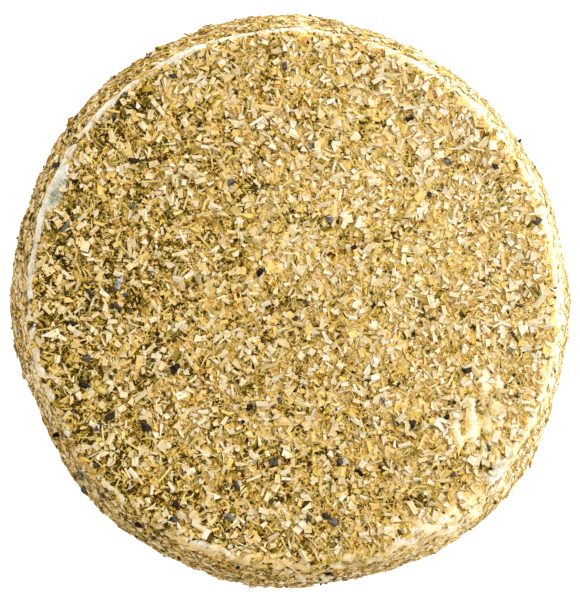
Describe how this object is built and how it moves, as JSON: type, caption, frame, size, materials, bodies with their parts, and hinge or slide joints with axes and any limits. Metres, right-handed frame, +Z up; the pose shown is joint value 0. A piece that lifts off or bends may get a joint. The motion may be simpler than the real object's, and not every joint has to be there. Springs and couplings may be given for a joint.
{
  "type": "soft cheese",
  "caption": "Whole uncut wheel of soft cheese with a rind crusted in dried herb, straw-coloured stems and cracked pepper.",
  "frame": {"origin": "middle of the wheel's footprint, on the surface it rests on", "axes": "+Z up, square to the resting face; +Y along the longer way across the slightly oval plan"},
  "size_m": [0.1612, 0.1664, 0.0468],
  "materials": {
    "herb_rind": "matte"
  },
  "bodies": {
    "root": {"cheese_wheel": "herb_rind"}
  },
  "joints": []
}
